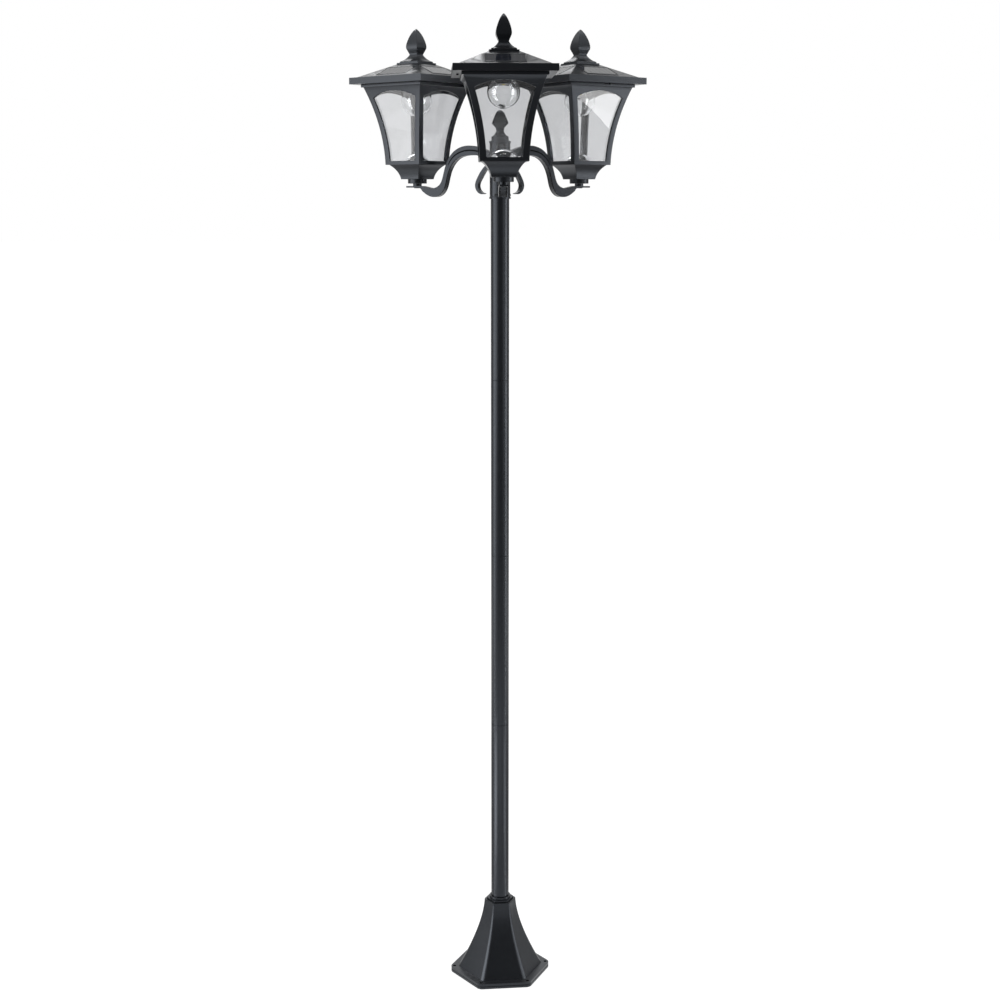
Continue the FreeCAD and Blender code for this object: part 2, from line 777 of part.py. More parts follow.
def make_tray(name, place):
    # the light tray closes the roof from below and carries the battery, the switch and the lamp
    low, thick = size("eave_low"), size("tray_thickness")
    top = low + thick
    half = size("eave_half") - size("roof_wall") - size("tray_gap")
    plate = square_prism(half, low, top)
    lip_half, lip_low = size("tray_lip_half"), low - size("tray_lip_depth")
    lip = square_prism(lip_half, lip_low, low).cut(square_prism(lip_half - 2, lip_low, low))
    bay_y, radius, length = size("cell_bay_offset"), size("battery_radius"), size("battery_length")
    bay, room = [block_at(0, bay_y, length + edge, 2 * radius + edge, top, top + 12) for edge in (4, 1)]
    knob, travel = size("switch_knob"), size("switch_travel")
    across, along = size("switch_across"), size("switch_along")
    slot = block_at(across, along, knob + 0.4, knob + travel + 0.4, low - 1, top + 1)
    heads, shanks = countersunk(0.2)
    solid_of(name + "_tray", plate.fuse([lip, bay]).cut([room, slot] + heads + shanks), place)

    middle, along_x = top + radius + 0.1, Vector(1, 0, 0)
    cell = Part.makeCylinder(radius, length - 2, Vector(-length / 2, bay_y, middle), along_x)
    tip = Part.makeCylinder(3, 2, Vector(length / 2 - 2, bay_y, middle), along_x)
    solid_of(name + "_battery", cell.fuse(tip), place)

    screws = [head.fuse(shank) for head, shank in zip(*countersunk(0))]
    solid_of(name + "_roof_screws", Part.makeCompound(screws), place)

    # the slider sits at the off end of its slot, nearest the arm's tip
    start, slider_low = along - travel / 2, top + 0.1
    slider = block_at(across, start, knob + 4, knob + 5, slider_low, slider_low + 1.6)
    grip = block_at(across, start, knob, knob, low - size("switch_knob_drop"), slider_low)
    solid_of(name + "_switch", slider.fuse(grip), place)

    turned(
        name + "_bulb_holder",
        [
            ("0", "eave_low"),
            ("0", "holder_low + led_thickness + 0.2"),
            ("led_radius + 0.2", "holder_low + led_thickness + 0.2"),
            ("led_radius + 0.2", "holder_low"),
            ("holder_radius - 1", "holder_low"),
            ("holder_radius", "holder_low + 1"),
            ("holder_radius", "eave_low - 2"),
            ("globe_mouth_radius - globe_wall - 0.3", "eave_low - 1.5"),
            ("globe_mouth_radius - globe_wall - 0.3", "eave_low"),
        ],
        place,
    )
    turned(
        name + "_led",
        [
            ("0", "holder_low + led_thickness"),
            ("led_radius", "holder_low + led_thickness"),
            ("led_radius", "holder_low"),
            ("3", "holder_low"),
            "dome",
            ("0", "holder_low - 2.2"),
        ],
        place,
    )
    make_bulb(name, place)


def make_bulb(name, place):
    # a clear globe with an open mouth that pushes up round the holder
    outer = doc.addObject("Part::Sphere", name + "_globe")
    inner = doc.addObject("Part::Sphere", name + "_globe_space")
    tie(outer, Radius="globe_radius", Placement_Base_z="globe_centre")
    tie(inner, Radius="globe_radius - globe_wall", Placement_Base_z="globe_centre")
    mouth_low = "eave_low - 7"
    collar = cylinder(name + "_mouth", "globe_mouth_radius", mouth_low, "6.9")
    way = cylinder(name + "_mouth_space", "globe_mouth_radius - globe_wall", "globe_centre", "40")
    globe = joined(name + "_globe_and_mouth", outer, collar)
    bulb = cut_away(name + "_bulb", globe, inner, way)
    keep(bulb, name + "_bulb", place)


# ---- put it together

make_foot()
make_post()
make_hub()

arm = arm_shape()
upright = Vector(0, 0, 1)
for name, heading in (("front", 0), ("right", 120), ("left", -120)):
    # the arm is drawn along +X, and the front one points along -Y
    along_arm = Rotation(upright, heading - 90)
    solid_of(name + "_arm", arm.copy(), Placement(Vector(0, 0, 0), along_arm))
    stem_spot = along_arm.multVec(Vector(size("arm_reach"), 0, 0))
    place = Placement(stem_spot, Rotation(upright, heading + size("turn_" + name)))
    make_stem_and_cup(name, place)
    make_body(name, place)
    make_roof(name, place)
    make_tray(name, place)

doc.recompute()
for thing in doc.Objects:
    if "Invalid" in thing.State or "Error" in thing.State:
        raise RuntimeError(f"{thing.Label} failed to build")
for node in nodes:
    if node.Shape.isNull() or not node.Shape.isValid():
        raise RuntimeError(f"{node.Label} has no sound shape")

os.makedirs("parts", exist_ok=True)
for node in nodes:
    node.Shape.exportStep(f"parts/{node.Label}.step")
print(len(nodes), "pieces written")
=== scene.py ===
import json
import math

import bmesh
import bpy
from mathutils import Matrix, Vector


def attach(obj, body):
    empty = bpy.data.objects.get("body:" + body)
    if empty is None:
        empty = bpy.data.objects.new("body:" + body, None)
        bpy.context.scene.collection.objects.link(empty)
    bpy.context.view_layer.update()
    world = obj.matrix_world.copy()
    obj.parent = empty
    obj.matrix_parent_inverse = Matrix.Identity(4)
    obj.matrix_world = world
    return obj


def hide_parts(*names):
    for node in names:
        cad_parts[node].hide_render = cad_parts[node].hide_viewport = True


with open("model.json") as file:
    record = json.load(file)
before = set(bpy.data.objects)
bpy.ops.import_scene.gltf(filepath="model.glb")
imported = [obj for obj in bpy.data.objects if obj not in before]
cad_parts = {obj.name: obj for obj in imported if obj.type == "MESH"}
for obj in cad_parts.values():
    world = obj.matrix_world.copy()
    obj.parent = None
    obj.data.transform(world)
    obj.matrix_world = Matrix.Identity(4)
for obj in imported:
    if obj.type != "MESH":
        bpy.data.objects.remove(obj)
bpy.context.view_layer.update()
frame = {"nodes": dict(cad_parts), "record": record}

scene = bpy.context.scene
nodes = frame["nodes"]
lanterns = ("front", "right", "left")
headings = {"front": 0.0, "right": 120.0, "left": -120.0}  # degrees round the post from the front
turns = {"front": 0.5, "right": 1.6, "left": -10.7}  # how far each lantern stands turned on its stem
armReach = 177.0  # millimetres from the post's axis to each stem
metre = 1000.0  # in millimetres, which the pieces are drawn in
print("frame loaded:", len(nodes), "nodes")


def outward(angle):
    # level and away from the post; an angle of nought is towards the front
    return Vector((math.sin(angle), -math.cos(angle), 0))


def sideways(angle):
    return Vector((math.cos(angle), math.sin(angle), 0))


# camera

camera = {
    "lens": 59.19,
    "sensor": 36.0,
    "distance": 3.0863,
    "height": 1.5187,
    "aside": 2.0,  # degrees round the post, to the left of the front arm
    "pitch": 10.3,  # degrees below level
    "farthest": 200.0,
}


def makeCamera():
    lens = bpy.data.cameras.new("camera")
    lens.lens = camera["lens"]
    lens.sensor_width = camera["sensor"]
    lens.clip_end = camera["farthest"]
    holder = bpy.data.objects.new("camera", lens)
    scene.collection.objects.link(holder)
    aside = math.radians(camera["aside"])
    holder.location = outward(-aside) * camera["distance"] + Vector((0, 0, camera["height"]))
    holder.rotation_euler = (math.radians(90 - camera["pitch"]), 0, -aside)
    scene.camera = holder


# small helpers for material nodes

mixSockets = {"first": 6, "second": 7, "mixed": 2}  # the colour sockets of the mix node


def newMaterial(name):
    material = bpy.data.materials.new(name)
    material.use_nodes = True
    tree = material.node_tree
    return material, tree, tree.nodes["Principled BSDF"]


def addNode(tree, kind, **settings):
    node = tree.nodes.new(kind)
    for key, setting in settings.items():
        if key in node.inputs:
            node.inputs[key].default_value = setting
        else:
            setattr(node, key, setting)
    return node


def addNoise(tree, scale, detail=3.0):
    # scale is in waves to the metre
    place = addNode(tree, "ShaderNodeTexCoord")
    noise = addNode(tree, "ShaderNodeTexNoise", Scale=scale, Detail=detail)
    tree.links.new(place.outputs["Object"], noise.inputs["Vector"])
    return noise.outputs["Fac"]


def addMath(tree, operation, first, second):
    result = addNode(tree, "ShaderNodeMath", operation=operation)
    tree.links.new(first, result.inputs[0])
    tree.links.new(second, result.inputs[1])
    return result.outputs[0]


def addRange(tree, source, low, high, fromLow=0.35, fromHigh=0.65):
    spread = addNode(tree, "ShaderNodeMapRange")
    spread.inputs["From Min"].default_value = fromLow
    spread.inputs["From Max"].default_value = fromHigh
    spread.inputs["To Min"].default_value = low
    spread.inputs["To Max"].default_value = high
    tree.links.new(source, spread.inputs["Value"])
    return spread.outputs["Result"]


def addTint(tree, source, first, second):
    tint = addNode(tree, "ShaderNodeMix", data_type="RGBA")
    tree.links.new(source, tint.inputs["Factor"])
    tint.inputs[mixSockets["first"]].default_value = (*first, 1)
    tint.inputs[mixSockets["second"]].default_value = (*second, 1)
    return tint.outputs[mixSockets["mixed"]]


def addBump(tree, source, shader, strength, height):
    bump = addNode(tree, "ShaderNodeBump")
    bump.inputs["Strength"].default_value = strength
    bump.inputs["Distance"].default_value = height
    tree.links.new(source, bump.inputs["Height"])
    tree.links.new(bump.outputs["Normal"], shader.inputs["Normal"])


def addBlend(tree, share, first, second, output):
    blend = addNode(tree, "ShaderNodeMixShader")
    tree.links.new(share, blend.inputs[0])
    tree.links.new(first.outputs[0], blend.inputs[1])
    tree.links.new(second.outputs[0], blend.inputs[2])
    tree.links.new(blend.outputs[0], output.inputs["Surface"])


# finishes; all grains are in waves to the metre

paint = {  # semi-gloss coat on metal with a fine orange peel
    "dark": (0.0066, 0.0072, 0.0088),
    "light": (0.0088, 0.0096, 0.0116),
    "sheen": (0.82, 0.89, 1.0),
    "rough": (0.29, 0.33),
    "grain": 520.0,
    "height": 0.00005,
}
plastic = {  # smooth moulded plastic with a finer grain
    "dark": (0.0068, 0.0073, 0.0088),
    "light": (0.0088, 0.0095, 0.0113),
    "sheen": (0.82, 0.89, 1.0),
    "rough": (0.285, 0.325),
    "grain": 900.0,
    "height": 0.00001,
}
clouds = {  # faint patches in both black coats, with a finer mottling over them
    "patches": 9.0,
    "patchDetail": 4.0,
    "mottling": 130.0,
    "mottlingDetail": 5.0,
    "spread": (0.7, 1.3),  # from the darkest to the palest place
    "grainDetail": 2.0,
    "bump": 0.15,
}


def blackCoat(name, look):
    material, tree, shader = newMaterial(name)
    patches = addNoise(tree, clouds["patches"], clouds["patchDetail"])
    mottling = addNoise(tree, clouds["mottling"], clouds["mottlingDetail"])
    both = addMath(tree, "ADD", patches, mottling)
    tint = addTint(tree, addRange(tree, both, 0, 1, *clouds["spread"]), look["dark"], look["light"])
    tree.links.new(tint, shader.inputs["Base Color"])
    tree.links.new(addRange(tree, both, *look["rough"], *clouds["spread"]), shader.inputs["Roughness"])
    shader.inputs["Specular Tint"].default_value = (*look["sheen"], 1)
    grain = addNoise(tree, look["grain"], clouds["grainDetail"])
    addBump(tree, grain, shader, clouds["bump"], look["height"])
    return material


metals = {  # dark and light tone, roughness, grain
    "platedSteel": ((0.42, 0.42, 0.43), (0.56, 0.56, 0.57), (0.25, 0.42), 160.0),
    "mirrorDome": ((0.86, 0.87, 0.88), (0.92, 0.93, 0.94), (0.03, 0.07), 50.0),
    "darkScrew": ((0.02, 0.02, 0.022), (0.05, 0.05, 0.052), (0.28, 0.45), 300.0),
}
metalGrain = {"detail": 4.0, "bump": 0.1, "height": 0.00002}


def metal(name):
    dark, light, rough, scale = metals[name]
    material, tree, shader = newMaterial(name)
    shader.inputs["Metallic"].default_value = 1.0
    grain = addNoise(tree, scale, metalGrain["detail"])
    tree.links.new(addTint(tree, addRange(tree, grain, 0, 1), dark, light), shader.inputs["Base Color"])
    tree.links.new(addRange(tree, grain, *rough), shader.inputs["Roughness"])
    addBump(tree, grain, shader, metalGrain["bump"], metalGrain["height"])
    return material


colours = {  # first and second tone, roughness, grain
    "cellBlue": ((0.014, 0.016, 0.021), (0.018, 0.021, 0.028), (0.25, 0.35), 90.0),
    "boardBlack": ((0.012, 0.0125, 0.014), (0.012, 0.0125, 0.014), (0.3, 0.4), 200.0),
    "wireSilver": ((0.045, 0.045, 0.05), (0.06, 0.06, 0.065), (0.3, 0.4), 200.0),
    # grooveShade is painted shade, laid in the arms' cut lines
    "grooveShade": ((0.002, 0.0022, 0.0026), (0.003, 0.0033, 0.0038), (0.6, 0.75), 300.0),
    "ledBoard": ((0.68, 0.68, 0.66), (0.74, 0.74, 0.72), (0.35, 0.5), 300.0),
    "ledYellow": ((0.72, 0.56, 0.12), (0.8, 0.66, 0.2), (0.25, 0.35), 900.0),
    "batteryGreen": ((0.02, 0.16, 0.06), (0.03, 0.2, 0.08), (0.25, 0.35), 300.0),
    "batteryBand": ((0.5, 0.5, 0.48), (0.56, 0.56, 0.54), (0.25, 0.35), 300.0),
}
clearCoat = {"coat": 1.0, "shine": 0.0}  # over the solar cells, where it alone shines
coatRough = 0.06


def coloured(name, coat=0.0, shine=0.5):
    first, second, rough, scale = colours[name]
    material, tree, shader = newMaterial(name)
    grain = addNoise(tree, scale)
    tree.links.new(addTint(tree, addRange(tree, grain, 0, 1), first, second), shader.inputs["Base Color"])
    tree.links.new(addRange(tree, grain, *rough), shader.inputs["Roughness"])
    shader.inputs["Specular IOR Level"].default_value = shine
    shader.inputs["Coat Weight"].default_value = coat
    shader.inputs["Coat Roughness"].default_value = coatRough
    return material


clearTints = {"clearPane": (0.755, 0.76, 0.77, 1), "clearGlobe": (0.96, 0.965, 0.965, 1)}
clearness = {"bend": 1.45, "grain": 40.0, "rough": (0.0, 0.012)}


def clearSheet(name):
    # clear for the eye; lamp light passes straight through, so that what stands inside is lit
    tint = clearTints[name]
    material, tree, shader = newMaterial(name)
    shader.inputs["Base Color"].default_value = tint
    shader.inputs["Transmission Weight"].default_value = 1.0
    shader.inputs["IOR"].default_value = clearness["bend"]
    rough = addRange(tree, addNoise(tree, clearness["grain"]), *clearness["rough"])
    tree.links.new(rough, shader.inputs["Roughness"])
    passing = addNode(tree, "ShaderNodeBsdfTransparent", Color=tint)
    path = addNode(tree, "ShaderNodeLightPath")
    unseen = addMath(tree, "MAXIMUM", path.outputs["Is Shadow Ray"], path.outputs["Is Diffuse Ray"])
    addBlend(tree, unseen, shader, passing, tree.nodes["Material Output"])
    return material


finishes = {  # by the record's material slots
    "black_paint": blackCoat("blackPaint", paint),
    "black_plastic": blackCoat("blackPlastic", plastic),
    "bare_steel": metal("platedSteel"),
    "clear_pane": clearSheet("clearPane"),
    "clear_globe": clearSheet("clearGlobe"),
    "mirror_dome": metal("mirrorDome"),
}
darkScrew = metal("darkScrew")
cellBlue = coloured("cellBlue", **clearCoat)
boardBlack = coloured("boardBlack", **clearCoat)
wireSilver = coloured("wireSilver", **clearCoat)
grooveShade = coloured("grooveShade", shine=0.12)
ledBoard = coloured("ledBoard")
ledYellow = coloured("ledYellow")
batteryGreen = coloured("batteryGreen")
batteryBand = coloured("batteryBand")


# CAD nodes: their finishes and softer edges


def evenNormals(thing):
    # large faces keep their own shading and the soft edges turn between them
    even = thing.modifiers.new("evenNormals", "WEIGHTED_NORMAL")
    even.mode = "FACE_AREA_WITH_ANGLE"
    even.keep_sharp = False


groove = {  # where painted shade darkens the fine line cut into both sides of each arm, in millimetres
    "sides": (4.5, 7.4),  # out from the middle of the arm's thickness
    "low": 1594.0,  # the sides hold nothing but the line above this height
    "near": 52.0,  # and further out from the post than this
}


def paintGrooveShade():
    nearest, farthest = groove["sides"]
    for name in lanterns:
        angle = math.radians(headings[name])
        along, across = outward(angle), sideways(angle)
        thing = nodes[name + "_arm"]
        # painted shade: the faces of the cut line take the near-black grooveShade
        thing.data.materials.append(grooveShade)
        for face in thing.data.polygons:
            spot = thing.matrix_world @ face.center * metre
            inside = nearest < abs(spot.dot(across)) < farthest
            if inside and (spot.z > groove["low"] or spot.dot(along) > groove["near"]):
                face.material_index = 1


softEdges = {  # millimetres off each sharp edge
    "base_plate": 0.5,
    "base_cover": 0.9,
    "post_socket": 0.3,
    "hub": 0.4,
    "arm": 0.5,
    "stem": 0.4,
    "base_cup": 0.6,
    "frame": 0.6,
    "roof": 0.6,
    "tray": 0.4,
    "bulb_holder": 0.4,
}
softening = {"merge": 0.00001, "segments": 2, "sharper": 35.0}  # merge in metres, sharper in degrees


def finishNodes():
    slots = {part["node"]: part["material_slot"] for part in frame["record"]["subparts"]}
    for name, thing in nodes.items():
        if slots[name] not in finishes:
            continue  # a piece below stands for it
        thing.data.materials.clear()
        thing.data.materials.append(finishes[slots[name]])
        kind = name
        for lantern in lanterns:
            kind = kind.removeprefix(lantern + "_")
        if kind in softEdges:
            weld = thing.modifiers.new("weld", "WELD")
            weld.merge_threshold = softening["merge"]
            soft = thing.modifiers.new("softEdges", "BEVEL")
            soft.width = softEdges[kind] / metre
            soft.segments = softening["segments"]
            soft.limit_method = "ANGLE"
            soft.angle_limit = math.radians(softening["sharper"])
            evenNormals(thing)


# mesh helpers; sizes are in millimetres, drawn about a lantern's own stem

onAxis = 0.000001  # anything nearer to the axis is on it
smoothBelow = 32.0  # degrees between faces that shade as one


def placeOf(name):
    angle = math.radians(headings[name])
    turned = Matrix.Rotation(angle + math.radians(turns[name]), 4, "Z")
    return Matrix.Translation(outward(angle) * armReach) @ turned


def rounded(outline, radius, most=0.45):
    # all corners between the ends become short curves; most is the share of a side that one may take
    spots = [Vector(point) for point in outline]
    made = [outline[0]]
    for before, here, after in zip(spots, spots[1:], spots[2:]):
        back, on = before - here, after - here
        reach = min(radius, back.length * most, on.length * most)
        start, stop = here + back.normalized() * reach, here + on.normalized() * reach
        middle = (start + stop) / 4 + here / 2
        made += [tuple(start), tuple(middle), tuple(stop)]
    return made + [outline[-1]]


def arc(centre, radius, start, stop, steps):
    # (radius, height) points round a centre on the axis, angles in degrees up from level
    angles = [math.radians(start + (stop - start) * step / steps) for step in range(steps + 1)]
    return [(abs(radius * math.cos(angle)), centre + radius * math.sin(angle)) for angle in angles]


def lathe(work, outline, steps=64, look=0, place=Matrix()):
    # turns (radius, height) points about the axis and returns the rings of corners
    angles = [2 * math.pi * step / steps for step in range(steps)]
    rings = []
    for radius, height in outline:
        if radius < onAxis:
            rings.append([work.verts.new(place @ Vector((0, 0, height)))])
            continue
        spots = [Vector((radius * math.cos(angle), radius * math.sin(angle), height)) for angle in angles]
        rings.append([work.verts.new(place @ spot) for spot in spots])
    for low, high in zip(rings, rings[1:]):
        for step in range(steps):
            following = (step + 1) % steps
            corners = [low[step], low[following]] if len(low) > 1 else [low[0]]
            corners += [high[following], high[step]] if len(high) > 1 else [high[0]]
            if len(corners) > 2:
                work.faces.new(corners).material_index = look
    return rings


def squareLathe(work, outline):
    # the same with four flat sides, from (half width, height) points
    square = Matrix.Rotation(math.pi / 4, 4, "Z")
    lathe(work, [(half * math.sqrt(2), height) for half, height in outline], 4, place=square)


def softenCorners(work, soft, chosen):
    # a small bevel along the sharp edges whose ends are both chosen
    work.normal_update()
    sharp = [edge for edge in work.edges if edge.calc_face_angle(0) > soft["sharper"]]
    sharp = [edge for edge in sharp if edge.calc_length() > soft["longer"]]
    sharp = [edge for edge in sharp if all(chosen(corner.co) for corner in edge.verts)]
    bmesh.ops.bevel(work, geom=sharp, offset=soft["width"], segments=2, affect="EDGES",
                    profile=soft["profile"], clamp_overlap=True)


def block(work, low, high, look=0, soft=0.0, place=Matrix()):
    made = bmesh.ops.create_cube(work, size=1.0)["verts"]
    middle, span = (Vector(low) + Vector(high)) / 2, Vector(high) - Vector(low)
    for corner in made:
        corner.co = middle + Vector((corner.co.x * span.x, corner.co.y * span.y, corner.co.z * span.z))
    faces = {face for corner in made for face in corner.link_faces}
    if soft:
        edges = list(dict.fromkeys(edge for corner in made for edge in corner.link_edges))
        result = bmesh.ops.bevel(work, geom=edges, offset=soft, segments=2, affect="EDGES", profile=0.5)
        made = {corner for face in result["faces"] for corner in face.verts}
        faces = {face for corner in made for face in corner.link_faces}
    for corner in made:
        corner.co = place @ corner.co
    for face in faces:
        face.material_index = look


def recess(work, ring, shape, depth, shrink):
    # closes a ring of corners with a flat face that has a shaped hole sunk into it
    middle = sum((corner.co for corner in ring), Vector()) / len(ring)
    normal = (ring[0].co - middle).cross(ring[1].co - middle).normalized()
    across = (ring[0].co - middle).normalized()
    up = normal.cross(across)
    mouth = [work.verts.new(middle + across * x + up * y) for x, y in shape]
    floor = [work.verts.new(middle - normal * depth + (across * x + up * y) * shrink) for x, y in shape]
    count = len(shape)
    rim = [work.edges.new((mouth[step], mouth[(step + 1) % count])) for step in range(count)]
    outer = [work.edges.get((ring[step], ring[(step + 1) % len(ring)])) for step in range(len(ring))]
    bmesh.ops.triangle_fill(work, use_beauty=True, use_dissolve=False, edges=outer + rim)
    for step in range(count):
        following = (step + 1) % count
        work.faces.new([mouth[step], mouth[following], floor[following], floor[step]])
    work.faces.new(floor)


def polygon(count, radius):
    angles = [2 * math.pi * step / count for step in range(count)]
    return [(radius * math.cos(angle), radius * math.sin(angle)) for angle in angles]


def cross(reach, half):
    quarter = [(reach, -half), (reach, half), (half, half)]
    points = []
    for cosine, sine in ((1, 0), (0, 1), (-1, 0), (0, -1)):
        points += [(x * cosine - y * sine, x * sine + y * cosine) for x, y in quarter]
    return points


def makePiece(name, work, looks, body, place=Matrix()):
    bmesh.ops.recalc_face_normals(work, faces=work.faces)
    mesh = bpy.data.meshes.new(name)
    work.to_mesh(mesh)
    work.free()
    mesh.transform(Matrix.Scale(1 / metre, 4) @ place)
    for look in looks:
        mesh.materials.append(look)
    mesh.shade_smooth()
    mesh.set_sharp_from_angle(angle=math.radians(smoothBelow))
    thing = bpy.data.objects.new(name + "_made", mesh)
    scene.collection.objects.link(thing)
    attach(thing, body)
    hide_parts(name)
    return thing


# solar panels

roofSlope = {  # the roof's slopes, and how far down them the panels' middles lie
    "ledgeHalf": 26.0,
    "ledgeZ": 1770.0,
    "hipHalf": 80.5,
    "hipZ": 1745.0,
    "share": 0.535,
}


def slopePlace(quarter):
    run = roofSlope["hipHalf"] - roofSlope["ledgeHalf"]
    rise = roofSlope["ledgeZ"] - roofSlope["hipZ"]
    out = roofSlope["ledgeHalf"] + run * roofSlope["share"]
    up = roofSlope["ledgeZ"] - rise * roofSlope["share"]
    tilt = Matrix.Rotation(math.atan2(rise, run), 4, "Y")
    return Matrix.Rotation(math.pi / 2 * quarter, 4, "Z") @ Matrix.Translation((out, 0, up)) @ tilt


cells = {
    "length": 37.0,  # down the slope
    "width": 72.0,
    "under": -1.5,
    "proud": 0.6,
    "rim": 1.6,
    "rimSoft": 0.3,
    "rimStep": 0.01,  # the short sides of the rim lie this much lower than the long ones
    "face": 0.25,
    "thick": 0.1,
    "count": 6,
    "gap": 0.9,
    "edge": 1.6,
    "wireHalf": 0.45,
    "wireShort": 0.4,
    "wireHigh": 0.04,
}


def makeSolarCells(name):
    work = bmesh.new()
    rimLook, boardLook, cellLook, wireLook = range(4)
    halfLong, halfWide = cells["length"] / 2, cells["width"] / 2
    inLong, inWide = halfLong - cells["rim"], halfWide - cells["rim"]
    under, face, back = cells["under"], cells["face"], cells["face"] - cells["thick"]
    high, lower = cells["proud"], cells["proud"] - cells["rimStep"]
    step = (2 * inWide - 2 * cells["edge"] + cells["gap"]) / cells["count"]
    cellLong, wireLong = inLong - cells["edge"], inLong - cells["wireShort"]
    wire, wireTop = cells["wireHalf"], face + cells["wireHigh"]
    for quarter in range(4):
        place = slopePlace(quarter)
        block(work, (-inLong, -inWide, under), (inLong, inWide, back), boardLook, place=place)
        for side in (1, -1):
            near, far = sorted((side * inLong, side * halfLong))
            block(work, (near, -halfWide, under), (far, halfWide, high), rimLook, cells["rimSoft"], place)
            near, far = sorted((side * inWide, side * halfWide))
            block(work, (-inLong, near, under), (inLong, far, lower), rimLook, place=place)
        for number in range(cells["count"]):
            start = -inWide + cells["edge"] + number * step
            stop = start + step - cells["gap"]
            block(work, (-cellLong, start, back), (cellLong, stop, face), cellLook, place=place)
            middle = (start + stop) / 2
            left, right = middle - wire, middle + wire
            block(work, (-wireLong, left, face), (wireLong, right, wireTop), wireLook, place=place)
    looks = [finishes["black_plastic"], boardBlack, cellBlue, wireSilver]
    makePiece(name + "_solar_cells", work, looks, name + "_top", placeOf(name))


# globe, reflector and light; outlines are (radius, height) points

globe = {  # a clear ball with a short neck that pushes on from below
    "radius": 28.5,
    "centre": 1704.0,
    "wall": 1.6,
    "bottom": -90.0,  # degrees up from level, as is the next
    "neckFrom": 47.0,
    "steps": 36,
    "around": 72,
    "neck": [(18.35, 1727.3), (18.0, 1728.6), (18.0, 1732.1), (17.7, 1732.7), (17.2, 1732.8),
             (16.7, 1732.7), (16.4, 1732.1), (16.4, 1728.2), (16.9, 1726.4)],
}


def makeGlobe(name):
    work = bmesh.new()
    centre, bottom, neckFrom, steps = (globe[key] for key in ("centre", "bottom", "neckFrom", "steps"))
    outside = arc(centre, globe["radius"], bottom, neckFrom, steps)
    inside = arc(centre, globe["radius"] - globe["wall"], neckFrom, bottom, steps)
    outside[0], inside[-1] = (0, outside[0][1]), (0, inside[-1][1])
    lathe(work, outside + globe["neck"] + inside, globe["around"])
    looks = [finishes["clear_globe"]]
    makePiece(name + "_bulb", work, looks, name + "_top", placeOf(name))


dome = {  # a shallow polished cap with a rolled rim, open below
    "radius": 28.5,
    "low": 1589.0,
    "crown": 1607.0,
    "wall": 1.2,
    "inset": 2.2,  # from the outermost edge to where the cap begins
    "steps": 30,
    "around": 96,
    "rim": [(26.9, 1589.0), (28.2, 1589.1), (28.5, 1589.8), (28.15, 1590.5), (27.3, 1590.7)],
}


def makeReflector(name):
    work = bmesh.new()
    crown, rise = dome["crown"], dome["crown"] - dome["low"]
    sphere = (dome["radius"] ** 2 + rise**2) / (2 * rise)
    start = math.degrees(math.acos((dome["radius"] - dome["inset"]) / sphere))
    over = arc(crown - sphere, sphere, start, 90, dome["steps"])
    under = arc(crown - sphere, sphere - dome["wall"], 90, start, dome["steps"])
    over[-1], under[0] = (0, crown), (0, crown - dome["wall"])
    lathe(work, dome["rim"] + over + under, dome["around"])
    bmesh.ops.bridge_loops(work, edges=[edge for edge in work.edges if edge.is_boundary])
    looks = [finishes["mirror_dome"]]
    makePiece(name + "_reflector", work, looks, name + "_lantern", placeOf(name))


led = {  # a round white board with a yellow drop and two contacts below it
    "board": 8.4,
    "top": 1718.4,
    "face": 1717.0,
    "soft": 0.25,
    "around": 48,
    "dome": 3.2,
    "drop": 2.2,
    "root": 0.3,  # how far the drop reaches up into the board
    "dropSteps": 12,
    "dropAround": 40,
    "contactAt": 5.6,
    "contactHalf": (0.9, 1.2),
    "contactBelow": 0.25,
    "contactAbove": 0.1,
    "contactSoft": 0.1,
}


def makeLed(name):
    work = bmesh.new()
    boardLook, dropLook, contactLook = range(3)
    board, top, face = led["board"], led["top"], led["face"]
    outline = [(0, top), (board, top), (board, face), (0, face)]
    lathe(work, rounded(outline, led["soft"]), led["around"], boardLook)
    sphere = (led["dome"] ** 2 + led["drop"] ** 2) / (2 * led["drop"])
    centre = face - led["drop"] + sphere
    edge = math.degrees(math.asin((centre - face) / sphere))
    drop = arc(centre, sphere, -edge, -90, led["dropSteps"])
    drop[-1] = (0, drop[-1][1])
    root = face + led["root"]
    lathe(work, [(0, root), (led["dome"], root)] + drop, led["dropAround"], dropLook)
    halfWide, halfLong = led["contactHalf"]
    below, above = face - led["contactBelow"], face + led["contactAbove"]
    for x in (led["contactAt"], -led["contactAt"]):
        low, high = (x - halfWide, -halfLong, below), (x + halfWide, halfLong, above)
        block(work, low, high, contactLook, led["contactSoft"])
    looks = [ledBoard, ledYellow, finishes["bare_steel"]]
    makePiece(name + "_led", work, looks, name + "_top", placeOf(name))


# battery, switch and screws

battery = {  # one cell that lies on the tray; its outlines are (radius, length) points
    "y": 22.0,
    "z": 1745.2,
    "around": 64,
    "soft": 0.3,
    "can": [(0, -32.5), (8.25, -32.5), (8.45, -31.9), (8.45, 29.7), (7.65, 30.4), (4.6, 30.4),
            (4.2, 30.0), (3, 30.0), (3, 32.4), (2.6, 32.5), (0, 32.5)],
    "sleeve": [(7.35, -32.3), (8.9, -32.3), (9.1, -31.9), (9.1, 18.5)],
    "band": [(9.1, 18.5), (9.1, 29.8), (8.85, 30.25), (6.65, 30.45)],
    "merge": 0.001,
}


